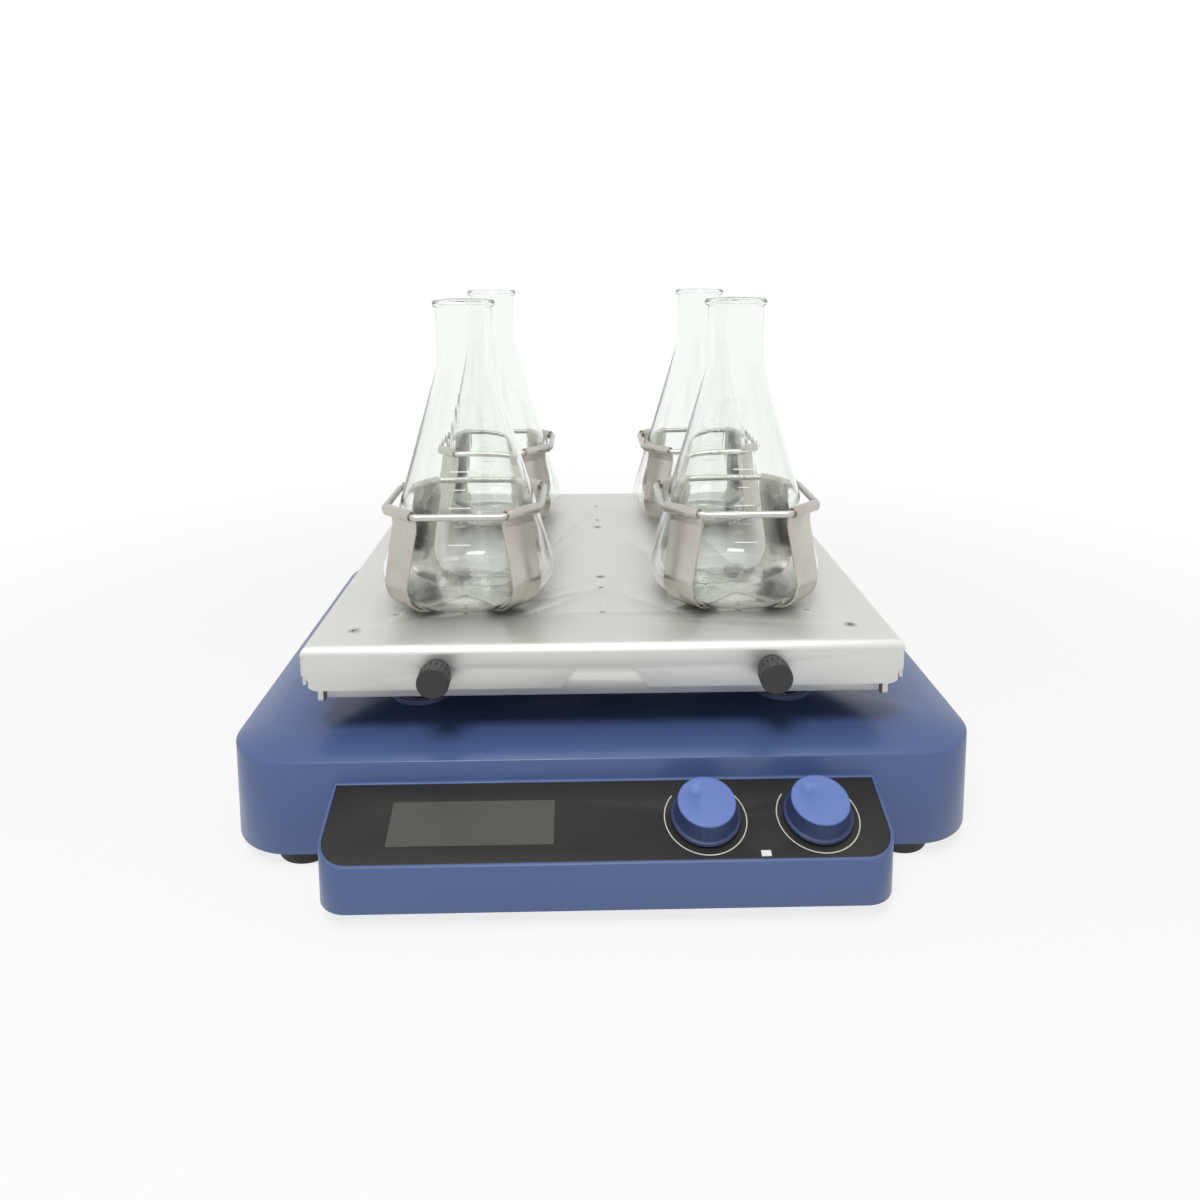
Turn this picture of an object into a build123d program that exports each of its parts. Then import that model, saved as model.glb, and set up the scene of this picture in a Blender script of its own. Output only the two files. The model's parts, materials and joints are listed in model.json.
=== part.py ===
# Orbital shaker with a clamp tray and four conical flasks.
# Millimetres, +Z up, the operator's side towards -Y.
# The origin lies on the bench, on the axis of the drive shaft.
from build123d import *
import os
from math import acos, atan2, cos, degrees, hypot, pi, radians, sin, sqrt, tan

os.makedirs("parts", exist_ok=True)

# Clearances
fit_gap = 0.02         # a part pressed or screwed into its seat, all round
running_gap = 0.05     # a shaft turning or sliding in its bore, all round
part_gap = 0.3         # covers and frames that only lie beside each other

# Motion
orbit_radius = 5.0     # throw of every crank, so the tray sweeps a 10 mm circle
knob_push = 0.8        # click travel of the control knobs

# Base
base_width = 420.0
base_depth = 338.0
base_corner = 38.0
base_bottom = 10.0
base_top = 69.0
base_chamfer_in = 18.0
base_chamfer_drop = 6.0
base_wall = 3.0
plate_thickness = 3.0
foot_diameter = 36.0
foot_taper = 2.0
foot_x = 168.0
foot_y = 147.0

# Console on the front wall
console_width = 293.0
console_out = 48.0
console_back_height = 52.0
console_front_height = 34.9
console_corner = 16.5
console_wall = 2.5
console_face = 2.0
rim_width = 1.6
rim_height = 0.4
panel_thickness = 1.2
window_width = 85.0
window_length = 26.0
window_x = -69.7
window_down = 26.2
knob_x = (51.3, 110.0)
knob_down = 25.4
knob_diameter = 30.0
knob_skirt = 36.0
knob_rise = 12.6
encoder_size = 13.0
encoder_height = 7.0
encoder_bush = 9.0
encoder_shaft_diameter = 6.0
board_thickness = 1.6
lens_width = 5.0
lens_length = 3.2
lens_x = 79.3
lens_down = 46.4

# Power switch on the left wall, power inlet on the back wall
bezel_length = 72.0
bezel_height = 33.0
bezel_out = 4.0
bezel_y = -58.0
bezel_z = 41.0
rocker_length = 28.0
rocker_height = 20.0
rocker_tilt = 8.0
inlet_x = -70.0
inlet_z = 37.0

# Drive: main shaft, idler cranks, belt
main_journal = 20.0
main_shoulder = 30.0
main_bearing = (20.0, 42.0, 12.0)
pin_bearing = (15.0, 32.0, 9.0)
idler_journal = 15.0
idler_shoulder = 25.0
idler_bearing = (15.0, 32.0, 9.0)
idler_pin_bearing = (10.0, 26.0, 8.0)
idler_x = 110.0
idler_y = 100.0
crank_top = 88.0
collar_height = 6.0
belt_pitch = 5.0
pulley_teeth = 72
motor_teeth = 24
belt_width = 12.0
belt_thickness = 2.0
belt_low = 45.0
motor_x = 112.0
motor_diameter = 80.0
motor_height = 24.0
motor_shaft_diameter = 8.0

# Carrier and clamp tray
tray_size = 330.0
tray_top = 124.0
tray_sheet = 2.0
tray_flange = 24.7
tray_bend = 5.0
carrier_sheet = 4.0
carrier_inset = 3.0
carrier_front_low = 94.6
carrier_side_low = 89.6
carrier_side_x = 157.5
notch_bottom = 48.0
notch_top = 33.0
notch_height = 11.3
thumb_x = 91.3
thumb_z = 109.5
thumb_head = 17.5
thumb_neck = 15.0
thumb_length = 15.0
thumb_stud = 6.0
nut_height = 6.0
hole_pitch = 40.5
hole_row_y = 118.7
small_hole = 3.4
corner_hole_x = 140.7
corner_hole_y = 141.9
locating_stud = 10.0
locating_depth = 8.0

# Flasks and their clamps
flask_x = 82.0
flask_y = 87.5
flask_body_radius = 52.5
flask_corner = 16.0
flask_neck_radius = 16.6
flask_rim_radius = 18.8
flask_height = 180.0
flask_shoulder = 141.0
flask_shoulder_blend = 26.0
flask_wall = 1.8
clamp_disc = 56.0
clamp_disc_height = 2.5
arm_sheet = 1.0
arm_low_width = 20.0
arm_top_width = 24.0
arm_lean = 12.0
arm_gap = 0.4
arm_flare_height = 54.0
ring_wire = 4.0
ring_height = 62.5
ring_half = 46.0
ring_bend = 6.0

# Heights and places that follow from the sizes above
base_front = -base_depth / 2
console_front = base_front - console_out
console_slope = degrees(atan2(console_back_height - console_front_height, console_out))
plate_top = base_bottom + plate_thickness
cover_under = base_top - base_wall
tray_under = tray_top - tray_sheet
tray_y = orbit_radius
collar_top = crank_top + collar_height
pulley_low = belt_low - 2.0
pulley_high = belt_low + belt_width + 2.0
pulley_pitch_radius = pulley_teeth * belt_pitch / (2 * pi)
motor_pitch_radius = motor_teeth * belt_pitch / (2 * pi)
flask_floor = tray_top + clamp_disc_height + arm_sheet + part_gap
flask_places = [(x, tray_y + y) for y in (-flask_y, flask_y) for x in (-flask_x, flask_x)]
idler_places = [(x, y) for y in (-idler_y, idler_y) for x in (-idler_x, idler_x)]
foot_places = [(x, y) for y in (-foot_y, foot_y) for x in (-foot_x, foot_x)]
boss_side_x = base_width / 2 - 20
boss_row_y = base_depth / 2 - 24
boss_places = [(-boss_side_x, 0), (boss_side_x, 0)]
boss_places += [(x, y) for y in (-boss_row_y, boss_row_y) for x in (-idler_x, idler_x)]

# The console's sloping face: x along the face, y up the slope, z out of the face
slope = Plane(
    origin=(0, base_front, console_back_height),
    x_dir=(1, 0, 0),
    z_dir=(0, -sin(radians(console_slope)), cos(radians(console_slope))),
)


# Shapes that several pieces share
def rounded_plate(width, depth, radius, low, high):
    return extrude(Pos(0, 0, low) * RectangleRounded(width, depth, radius), high - low)


def cylinder(radius, low, high, x=0.0, y=0.0):
    return Pos(x, y, (low + high) / 2) * Cylinder(radius, high - low)


def box(x_low, x_high, y_low, y_high, z_low, z_high):
    centre = ((x_low + x_high) / 2, (y_low + y_high) / 2, (z_low + z_high) / 2)
    return Pos(*centre) * Box(x_high - x_low, y_high - y_low, z_high - z_low)


def chamfered_block(width, depth, radius, low, high, inset, drop):
    body = rounded_plate(width, depth, radius, low, high - drop)
    foot = Pos(0, 0, high - drop) * RectangleRounded(width, depth, radius)
    crown = Pos(0, 0, high) * RectangleRounded(width - 2 * inset, depth - 2 * inset, radius - inset)
    return body + loft([foot, crown], ruled=True)


def bearing(size, low, x=0.0, y=0.0):
    bore, outer, width = size
    mid = (bore + outer) / 4
    race = (outer - bore) / 10
    shape = cylinder(outer / 2 - fit_gap, low, low + width, x, y)
    shape -= cylinder(bore / 2 + fit_gap, low, low + width, x, y)
    for z in (low, low + width - 0.6):
        groove = cylinder(mid + race, z, z + 0.6, x, y) - cylinder(mid - race, z, z + 0.6, x, y)
        shape -= groove
    return shape


def pan_screw(head, shank, seat, length, x, y):
    # Head below the seat face, shank going up from it
    height = head * 0.3
    shape = cylinder(head / 2, seat - height, seat, x, y) + cylinder(shank / 2, seat, seat + length, x, y)
    socket = extrude(Pos(x, y, seat - height) * RegularPolygon(head * 0.24, 6), height * 0.6)
    return shape - socket


def cap_screw(head, shank, seat, length, x, y):
    # Head above the seat face, shank going down from it
    height = head * 0.5
    shape = cylinder(head / 2, seat, seat + height, x, y) + cylinder(shank / 2, seat - length, seat, x, y)
    socket = extrude(Pos(x, y, seat + height * 0.5) * RegularPolygon(head * 0.28, 6), height * 0.5)
    return shape - socket


def sunk_head(head, shank, top):
    # Cone of a countersunk head, its flat face at the top
    depth = (head - shank) / 2
    return Pos(0, 0, top - depth / 2) * Cone(shank / 2, head / 2, depth)


def sunk_screw(head, shank, top, length, x, y):
    shape = sunk_head(head, shank, top) + cylinder(shank / 2, top - length, top - (head - shank) / 2)
    shape -= extrude(Pos(0, 0, top - head * 0.12) * RegularPolygon(head * 0.26, 6), head * 0.12)
    return Pos(x, y) * shape


def sunk_hole(head, shank, top, low, x, y):
    shape = sunk_head(head + 2 * fit_gap, shank + 2 * fit_gap, top)
    return Pos(x, y) * (shape + cylinder(shank / 2 + fit_gap, low, top))


def toothed_wheel(teeth, pitch_radius, low, high):
    # Rounded tooth spaces cut round the rim, as on a timing pulley
    space = belt_pitch * 0.27
    wheel = cylinder(pitch_radius - 0.4, low, high)
    spaces = Sketch() + [
        Rot(0, 0, 360 * n / teeth) * Pos(pitch_radius - 0.1, 0) * Rectangle(2.4, space * 2)
        for n in range(teeth)
    ]
    return wheel - extrude(Pos(0, 0, low) * spaces, high - low)


# Base: housing, plate, feet
def make_base_housing():
    shell = chamfered_block(
        base_width, base_depth, base_corner, base_bottom, base_top, base_chamfer_in, base_chamfer_drop
    )
    shell -= chamfered_block(
        base_width - 2 * base_wall, base_depth - 2 * base_wall, base_corner - base_wall,
        base_bottom, cover_under, base_chamfer_in, base_chamfer_drop,
    )
    for x, y in boss_places:
        shell += cylinder(5, plate_top, base_top - base_wall / 2, x, y)
        shell -= cylinder(2 + fit_gap, plate_top, plate_top + 13, x, y)
    # Raised collars keep spills out of the shaft openings
    for x, y, radius in [(0, 0, main_shoulder / 2)] + [(x, y, idler_shoulder / 2) for x, y in idler_places]:
        shell += cylinder(radius + 5, cover_under, base_top + 3, x, y)
        shell -= cylinder(radius + 2, cover_under - 1, base_top + 3, x, y)
    # Harness opening behind the console
    shell -= box(-90, 90, base_front - 1, base_front + base_wall + 1, base_bottom + 9, base_bottom + 30)
    # Inlet and switch cut-outs
    back = base_depth / 2
    shell -= box(inlet_x - 14, inlet_x + 14, back - base_wall - 1, back + 1, inlet_z - 10.5, inlet_z + 10.5)
    left = -base_width / 2
    shell -= box(
        left - 1, left + base_wall + 1,
        bezel_y - bezel_length / 2 + 4, bezel_y + bezel_length / 2 - 4,
        bezel_z - bezel_height / 2 + 4, bezel_z + bezel_height / 2 - 4,
    )
    # Cooling slots in the back wall
    for n in range(8):
        shell -= Pos(40 + 12 * n, back - base_wall / 2, 37) * Box(4, base_wall + 2, 26)
    return shell


def make_base_plate():
    inset = base_wall + part_gap
    plate = rounded_plate(
        base_width - 2 * inset, base_depth - 2 * inset, base_corner - inset, base_bottom, plate_top
    )
    for x, y in boss_places:
        plate -= cylinder(2 + fit_gap, base_bottom, plate_top, x, y)
    for x, y in foot_places:
        plate -= cylinder(2.5 + fit_gap, base_bottom, plate_top, x, y)
    for x, y in mechanism_places():
        plate -= cylinder(2.5 + fit_gap, base_bottom, plate_top, x, y)
    for n in range(7):
        plate -= Pos(60 + 12 * n, -72, base_bottom + plate_thickness / 2) * Box(4, 34, plate_thickness)
    return plate


def make_feet():
    shapes = []
    for x, y in foot_places:
        shape = Pos(x, y, base_bottom / 2) * Cone(foot_diameter / 2 - foot_taper, foot_diameter / 2, base_bottom)
        shape = fillet(shape.edges().group_by(Axis.Z)[0], 1.5)
        shape -= cylinder(5.5, 0, base_bottom - 4, x, y)
        shape -= cylinder(2.5 + fit_gap, 0, base_bottom, x, y)
        shapes.append(shape)
    return shapes


def make_underside_screws():
    seat = base_bottom - 4
    shapes = [pan_screw(9, 5, seat, base_bottom - seat + plate_thickness + 2, x, y) for x, y in foot_places]
    shapes += [pan_screw(7.5, 4, base_bottom, plate_thickness + 12, x, y) for x, y in boss_places]
    return shapes


# Console: housing, panel, window, controls
def console_plan(inset, back):
    y_low = console_front + inset
    width = console_width - 2 * inset
    plan = Pos(0, (y_low + back) / 2) * Rectangle(width, back - y_low)
    return fillet(plan.vertices().group_by(Axis.Y)[0], console_corner - inset)


def console_slab(inset, back, low_offset, high_offset):
    # Part of the console's plan between two planes parallel to its face
    column = extrude(console_plan(inset, back), console_back_height + 30)
    reach = 2 * console_width
    slab = slope.offset((low_offset + high_offset) / 2) * Box(reach, reach, high_offset - low_offset)
    return column & slab


def make_console_housing():
    reach = 2 * console_width
    above = slope * Pos(0, 0, reach / 2) * Box(reach, reach, reach)
    shape = extrude(Pos(0, 0, base_bottom) * console_plan(0, base_front), console_back_height) - above
    depth = rim_height + panel_thickness
    shape -= console_slab(rim_width, base_front - rim_width, -depth, 1)
    cavity = extrude(Pos(0, 0, base_bottom + console_wall) * console_plan(console_wall, base_front + 1), 60)
    face_under = slope.offset(-depth - console_face) * Pos(0, 0, reach / 2) * Box(reach, reach, reach)
    shape -= cavity - face_under
    for x in knob_x:
        shape -= slope * Pos(x, -knob_down, -depth) * Cylinder(encoder_bush / 2 + fit_gap, 3 * console_face)
    shape -= slope * Pos(window_x, -window_down, -depth) * Box(window_width - 5, window_length - 4, 3 * console_face)
    shape -= slope * Pos(lens_x, -lens_down, -depth) * Box(lens_width - 1, lens_length - 0.6, 3 * console_face)
    return shape


def panel_block(width, length, x, down, low, high):
    return slope.offset((low + high) / 2) * Pos(x, -down) * Box(width, length, high - low)


def make_control_panel():
    high = -rim_height
    low = high - panel_thickness
    inset = rim_width + 0.1
    panel = console_slab(inset, base_front - inset, low, high)
    panel -= panel_block(window_width, window_length, window_x, window_down, low - 1, high + 1)
    panel -= panel_block(lens_width, lens_length, lens_x, lens_down, low - 1, high + 1)
    for x in knob_x:
        panel -= slope * Pos(x, -knob_down, high) * Cylinder(encoder_bush / 2 + 0.2, 4)
    return panel


def make_display_window():
    low = -rim_height - panel_thickness
    window = panel_block(
        window_width - 2 * fit_gap, window_length - 2 * fit_gap, window_x, window_down, low, -rim_height
    )
    return window


def make_indicator_lens():
    low = -rim_height - panel_thickness
    lens = panel_block(lens_width - 2 * fit_gap, lens_length - 2 * fit_gap, lens_x, lens_down, low, 0)
    return lens


def face_under_offset():
    return -rim_height - panel_thickness - console_face


def make_lcd_module():
    high = face_under_offset()
    return panel_block(window_width + 3, window_length + 4, window_x, window_down, high - encoder_height, high)


def make_control_board():
    high = face_under_offset() - encoder_height
    board = panel_block(console_width - 40, 36, 0, window_down, high - board_thickness, high)
    for x in (-100, -40, 0, 25):
        board += panel_block(9, 7, x, window_down, high - board_thickness - 2.2, high - board_thickness)
    return board


def make_rotary_encoders():
    high = face_under_offset()
    shapes = []
    for x in knob_x:
        shape = panel_block(encoder_size, encoder_size, x, knob_down, high - encoder_height, high)
        bush_top = 0.8
        shape += slope.offset((high + bush_top) / 2) * Pos(x, -knob_down) * Cylinder(encoder_bush / 2, bush_top - high)
        bore_low = high - encoder_height + 1.5
        bore = Cylinder(encoder_shaft_diameter / 2 + running_gap, bush_top - bore_low)
        shape -= slope.offset((bore_low + bush_top) / 2) * Pos(x, -knob_down) * bore
        shapes.append(shape)
    return shapes


def make_encoder_shaft(x):
    low = face_under_offset() - encoder_height + 1.5
    high = knob_rise - 3.2 - knob_push
    return slope.offset((low + high) / 2) * Pos(x, -knob_down) * Cylinder(encoder_shaft_diameter / 2, high - low)


def make_control_knob(x):
    # A tapering skirt under a flat cap with a finger dimple towards the upper left
    low = knob_push + part_gap
    cap = knob_diameter / 2
    skirt = knob_skirt / 2
    with BuildSketch(Plane.XZ) as section:
        with BuildLine():
            Polyline(
                (0, low), (skirt, low), (skirt, low + 1.4), (skirt - 1.4, low + 1.8),
                (cap, knob_rise - 1.6), (cap, knob_rise), (0, knob_rise), close=True,
            )
        make_face()
    knob = revolve(section.sketch, Axis.Z)
    knob = fillet(knob.edges().group_by(Axis.Z)[-1], 0.9)
    dimple = cap * 0.54
    knob -= Pos(-dimple * 0.68, dimple * 0.74, knob_rise + 6.2) * Sphere(7.2)
    # Finger grooves round the skirt
    grooves = 24
    for n in range(grooves):
        groove = Rot(0, 0, 360 * n / grooves) * Pos(cap + 2.2, 0, knob_rise / 2 + 1.2) * Rot(0, -16, 0)
        knob -= groove * Cylinder(0.8, knob_rise - 5)
    knob -= cylinder(encoder_bush / 2 + 1, low, 0.8 + knob_push + part_gap)
    knob -= cylinder(encoder_shaft_diameter / 2 + running_gap, low, knob_rise - 3)
    return slope * Pos(x, -knob_down) * knob


# Power: supply, inlet, switch
def make_power_supply():
    supply = box(-183, -143, -4, 106, plate_top + 5, plate_top + 7)
    for x in (-179, -147):
        for y in (0, 102):
            supply += cylinder(3, plate_top, plate_top + 5, x, y)
    supply += box(-178, -150, 4, 38, plate_top + 7, plate_top + 34)
    supply += cylinder(9, plate_top + 7, plate_top + 32, -168, 56)
    supply += cylinder(9, plate_top + 7, plate_top + 32, -168, 80)
    supply += box(-156, -153, 46, 96, plate_top + 7, plate_top + 30)
    return supply


def make_power_inlet():
    back = base_depth / 2
    inlet = box(inlet_x - 25, inlet_x + 25, back, back + 2.5, inlet_z - 14, inlet_z + 14)
    inlet = fillet(inlet.edges().filter_by(Axis.Y), 4)
    body = box(inlet_x - 13.8, inlet_x + 13.8, back - 24, back, inlet_z - 10.3, inlet_z + 10.3)
    socket = box(inlet_x - 12, inlet_x + 12, back - 15, back + 2.5, inlet_z - 8, inlet_z + 8)
    corners = socket.edges().filter_by(Axis.Y).group_by(Axis.Z)[0]
    inlet += body
    inlet -= chamfer(corners, 4)
    for x, z in ((-7, -1), (7, -1), (0, 3)):
        inlet += box(inlet_x + x - 1, inlet_x + x + 1, back - 15, back - 2, inlet_z + z - 2, inlet_z + z + 2)
    return inlet


def make_switch_bezel():
    left = -base_width / 2
    face = Pos(left - bezel_out / 2, bezel_y, bezel_z) * Box(bezel_out, bezel_length, bezel_height)
    face = fillet(face.edges().filter_by(Axis.X), 8)
    face = chamfer(face.faces().sort_by(Axis.X)[0].edges(), 2.2)
    body = box(
        left, left + 22,
        bezel_y - bezel_length / 2 + 4 + fit_gap, bezel_y + bezel_length / 2 - 4 - fit_gap,
        bezel_z - bezel_height / 2 + 4 + fit_gap, bezel_z + bezel_height / 2 - 4 - fit_gap,
    )
    pocket = box(
        left - bezel_out, left + 20,
        bezel_y - rocker_length / 2 - 1, bezel_y + rocker_length / 2 + 1,
        bezel_z - rocker_height / 2 - part_gap, bezel_z + rocker_height / 2 + part_gap,
    )
    pivot = Pos(left + 6, bezel_y, bezel_z) * Cylinder(1.5, bezel_height - 10)
    return face + body - pocket - pivot


def make_power_rocker():
    # A rocker with a shallow V face, tilted to its off side at rest
    left = -base_width / 2
    half = rocker_length / 2
    with BuildSketch() as section:
        with BuildLine():
            Polyline((-9, 1 - half), (-6.5, 0), (-9, half - 1), (-3, half - 1), (4, 3.5), (4, -3.5), (-3, 1 - half), close=True)
        make_face()
    rocker = extrude(section.sketch, rocker_height / 2, both=True)
    rocker += Cylinder(1.5 - running_gap, bezel_height - 10 - 2 * part_gap)
    return Pos(left + 6, bezel_y, bezel_z) * Rot(0, 0, -rocker_tilt) * rocker


# Drive train
def mechanism_places():
    places = [(42 * cos(radians(a)), 42 * sin(radians(a))) for a in (45, 135, 225, 315)]
    for x, y in idler_places:
        places += [(x + 25 * cos(radians(a)), y + 25 * sin(radians(a))) for a in (0, 120, 240)]
    places += [(motor_x + x, y) for x in (-38, 38) for y in (-38, 38)]
    return places


def make_main_bearing_housing():
    low = plate_top
    seat = low + 3
    high = seat + 2 * main_bearing[2]
    shape = cylinder(50, low, low + 5) + cylinder(main_bearing[1] / 2 + 8, low + 5, high)
    shape -= cylinder(main_bearing[1] / 2, seat, high)
    shape -= cylinder(main_bearing[1] / 2 - 5, low, seat)
    for a in (45, 135, 225, 315):
        shape -= cylinder(2.5 + fit_gap, low, low + 5, 42 * cos(radians(a)), 42 * sin(radians(a)))
    # Stiffening webs between the bolts
    for a in (0, 90, 180, 270):
        web = Pos(main_bearing[1] / 2 + 12, 0, low + 5 + 7) * Box(12, 5, 14)
        shape += Rot(0, 0, a) * web
    return shape


def make_idler_blocks():
    low = plate_top
    high = main_seat_top()
    shapes = []
    for x, y in idler_places:
        shape = cylinder(30, low, low + 4) + cylinder(idler_bearing[1] / 2 + 4, low + 4, high)
        shape -= cylinder(idler_bearing[1] / 2, high - 2 * idler_bearing[2], high)
        shape -= cylinder(idler_bearing[1] / 2 - 4, low, high)
        for a in (0, 120, 240):
            shape -= cylinder(2.5 + fit_gap, low, low + 4, 25 * cos(radians(a)), 25 * sin(radians(a)))
        shapes.append(Pos(x, y) * shape)
    return shapes


def main_seat_top():
    return plate_top + 3 + 2 * main_bearing[2]


def make_base_bearings():
    top = main_seat_top()
    shapes = [bearing(main_bearing, top - n * main_bearing[2]) for n in (1, 2)]
    for x, y in idler_places:
        shapes += [bearing(idler_bearing, top - n * idler_bearing[2], x, y) for n in (1, 2)]
    return shapes


def make_mechanism_screws():
    shapes = []
    for n, (x, y) in enumerate(mechanism_places()):
        flange = 5 if n < 4 else 4
        shapes.append(cap_screw(8.5, 5, plate_top + flange, flange + plate_thickness, x, y))
    return shapes


def crank(journal, journal_low, shoulder, pin, pin_high):
    # Journal, shoulder, then a collar and pin set off by the orbit radius
    top = main_seat_top()
    shape = cylinder(journal / 2, journal_low, top)
    shape += cylinder(shoulder / 2, top, crank_top)
    shape += cylinder(pin / 2 + 2, crank_top, collar_top, 0, orbit_radius)
    shape += cylinder(pin / 2 - running_gap, collar_top, pin_high, 0, orbit_radius)
    return shape


def make_drive_shaft():
    return crank(main_journal, plate_top + 2, main_shoulder, pin_bearing[0], collar_top + pin_bearing[2] + 1)


def make_idler_crank(x, y):
    low = main_seat_top() - 2 * idler_bearing[2] - 1
    pin_high = collar_top + idler_pin_bearing[2] + 1
    return Pos(x, y) * crank(idler_journal, low, idler_shoulder, idler_pin_bearing[0], pin_high)


def make_drive_pulley():
    wheel = toothed_wheel(pulley_teeth, pulley_pitch_radius, pulley_low, pulley_high)
    for z in (pulley_low - 1.5, pulley_high):
        wheel += cylinder(pulley_pitch_radius + 2.5, z, z + 1.5)
    # The rim stands round a dished web that carries the counterweight
    wheel -= cylinder(pulley_pitch_radius - 7, pulley_low + 3, pulley_high + 1.5)
    wheel += cylinder(main_shoulder / 2 + 6, pulley_low, pulley_high + 1.5)
    wheel -= cylinder(main_shoulder / 2 + fit_gap, pulley_low - 2, pulley_high + 2)
    for a in (30, 90, 150):
        x = 36 * cos(radians(a))
        wheel -= cylinder(7, pulley_low - 2, pulley_low + 3, x, 36 * sin(radians(a)))
    return wheel


def make_counterweight():
    low = pulley_low + 3
    outer = pulley_pitch_radius - 7 - part_gap
    weight = cylinder(outer, low, pulley_high + 1.5) - cylinder(main_shoulder / 2 + 6 + part_gap, low, pulley_high + 2)
    weight -= box(-100, 100, -2, 100, low - 1, pulley_high + 3)
    for a in (225, 315):
        x = 36 * cos(radians(a))
        y = 36 * sin(radians(a))
        weight -= cylinder(4.5, pulley_high - 3, pulley_high + 2, x, y)
        weight -= cylinder(2.5 + fit_gap, low, pulley_high, x, y)
    return weight


def make_counterweight_screws():
    seat = pulley_high - 3
    places = [(36 * cos(radians(a)), 36 * sin(radians(a))) for a in (225, 315)]
    return [cap_screw(8.5, 5, seat, seat - pulley_low - 3, x, y) for x, y in places]


def make_drive_belt():
    # Outer loop minus inner loop round both pulleys, clear of the tooth tips
    big = pulley_pitch_radius - 0.4 + part_gap
    small = motor_pitch_radius - 0.4 + part_gap
    low = belt_low
    high = belt_low + belt_width

    def loop(extra):
        r1, r2 = big + extra, small + extra
        a = acos((r1 - r2) / motor_x)
        wedge = Polygon(
            (r1 * cos(a), -r1 * sin(a)), (motor_x + r2 * cos(a), -r2 * sin(a)),
            (motor_x + r2 * cos(a), r2 * sin(a)), (r1 * cos(a), r1 * sin(a)),
            align=None,
        )
        return Circle(r1) + Pos(motor_x, 0) * Circle(r2) + wedge

    return extrude(Pos(0, 0, low) * (loop(belt_thickness) - loop(0)), high - low)


def make_motor_mount():
    mount = box(motor_x - 48, motor_x + 48, -46, 46, plate_top, plate_top + 4)
    mount = fillet(mount.edges().filter_by(Axis.Z), 6)
    for x in (-38, 38):
        for y in (-38, 38):
            mount -= cylinder(2.5 + fit_gap, plate_top, plate_top + 4, motor_x + x, y)
    return mount


def motor_top():
    return plate_top + 4 + motor_height


def make_motor_body():
    low = plate_top + 4
    body = cylinder(motor_diameter / 2 - 6, low, motor_top(), motor_x, 0)
    body = chamfer(body.edges().group_by(Axis.Z)[-1], 3)
    for n in range(16):
        fin = Pos(motor_diameter / 2 - 7, 0, low + motor_height / 2 - 1.5) * Box(10, 3, motor_height - 3)
        body += Pos(motor_x, 0) * Rot(0, 0, 360 * n / 16 + 11.25) * fin
    return body - cylinder(motor_shaft_diameter / 2 + running_gap, low + 4, motor_top(), motor_x, 0)


def make_motor_shaft():
    return cylinder(motor_shaft_diameter / 2, plate_top + 8, pulley_high + 3, motor_x, 0)


def make_motor_pulley():
    wheel = toothed_wheel(motor_teeth, motor_pitch_radius, pulley_low, pulley_high)
    for z in (pulley_low - 1, pulley_high):
        wheel += cylinder(motor_pitch_radius + 2.5, z, z + 1)
    return Pos(motor_x, 0) * (wheel - cylinder(motor_shaft_diameter / 2 + fit_gap, pulley_low - 2, pulley_high + 2))


# Carrier: the plate that orbits, with its hubs
def make_carrier_plate():
    half = tray_size / 2 - tray_sheet - part_gap
    front = tray_y - half
    back = tray_y + half - 10
    high = tray_under
    plate = box(-carrier_side_x, carrier_side_x, front, back, high - carrier_sheet, high)
    bend = plate.edges().group_by(Axis.Z)[-1].sort_by(Axis.Y)[0]
    plate = fillet(bend, tray_bend - tray_sheet + part_gap)
    for side in (-1, 1):
        outer = side * carrier_side_x
        inner = side * (carrier_side_x - 3)
        wall = box(min(outer, inner), max(outer, inner), front + 3, back, carrier_side_low, high - carrier_sheet)
        ends = wall.edges().filter_by(Axis.X).group_by(Axis.Z)[0]
        plate += fillet(ends, 3)
    plate += box(-carrier_side_x + 6, carrier_side_x - 6, front, front + 3, carrier_front_low, high - carrier_sheet)
    for x in (-thumb_x, thumb_x):
        nut = Pos(x, front + 3 + nut_height / 2, thumb_z) * Rot(90, 0, 0) * Cylinder(6, nut_height)
        bore = Pos(x, front + 5, thumb_z) * Rot(90, 0, 0) * Cylinder(thumb_stud / 2 + running_gap, 30)
        plate += nut
        plate -= bore
    for x, y in corner_screw_places() + centre_screw_places():
        plate -= cylinder(locating_stud / 2 + part_gap, high - carrier_sheet, high, x, y)
    for x, y, radius, pilot in hub_layout():
        for n in range(4):
            a = radians(45 + 90 * n)
            plate -= cylinder(pilot, high - carrier_sheet, high, x + radius * cos(a), y + radius * sin(a))
    return plate


def hub_layout():
    # Centre, bolt circle radius and bolt hole radius of every hub under the carrier
    layout = [(0, orbit_radius, 32, 2.5 + fit_gap)]
    return layout + [(x, y + orbit_radius, 24, 2 + fit_gap) for x, y in idler_places]


def hub(size, wall, flange, bolt_circle, bolt):
    # Flange under the carrier plate, barrel hanging over the bearing
    high = tray_under - carrier_sheet
    low = collar_top - 1.5
    shape = cylinder(flange, high - 4, high) + cylinder(size[1] / 2 + wall, low, high - 4)
    shape -= cylinder(size[1] / 2, low, collar_top + size[2])
    shape -= cylinder(size[0] / 2 + 2, low, collar_top + size[2] + 4)
    for n in range(4):
        a = radians(45 + 90 * n)
        shape -= cylinder(bolt, high - 4, high, bolt_circle * cos(a), bolt_circle * sin(a))
    return shape


def make_drive_hub():
    return Pos(0, orbit_radius) * hub(pin_bearing, 6, 38, 32, 2.5 + fit_gap)


def make_idler_hubs():
    return [
        Pos(x, y + orbit_radius) * hub(idler_pin_bearing, 4, 29, 24, 2 + fit_gap) for x, y in idler_places
    ]


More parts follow.
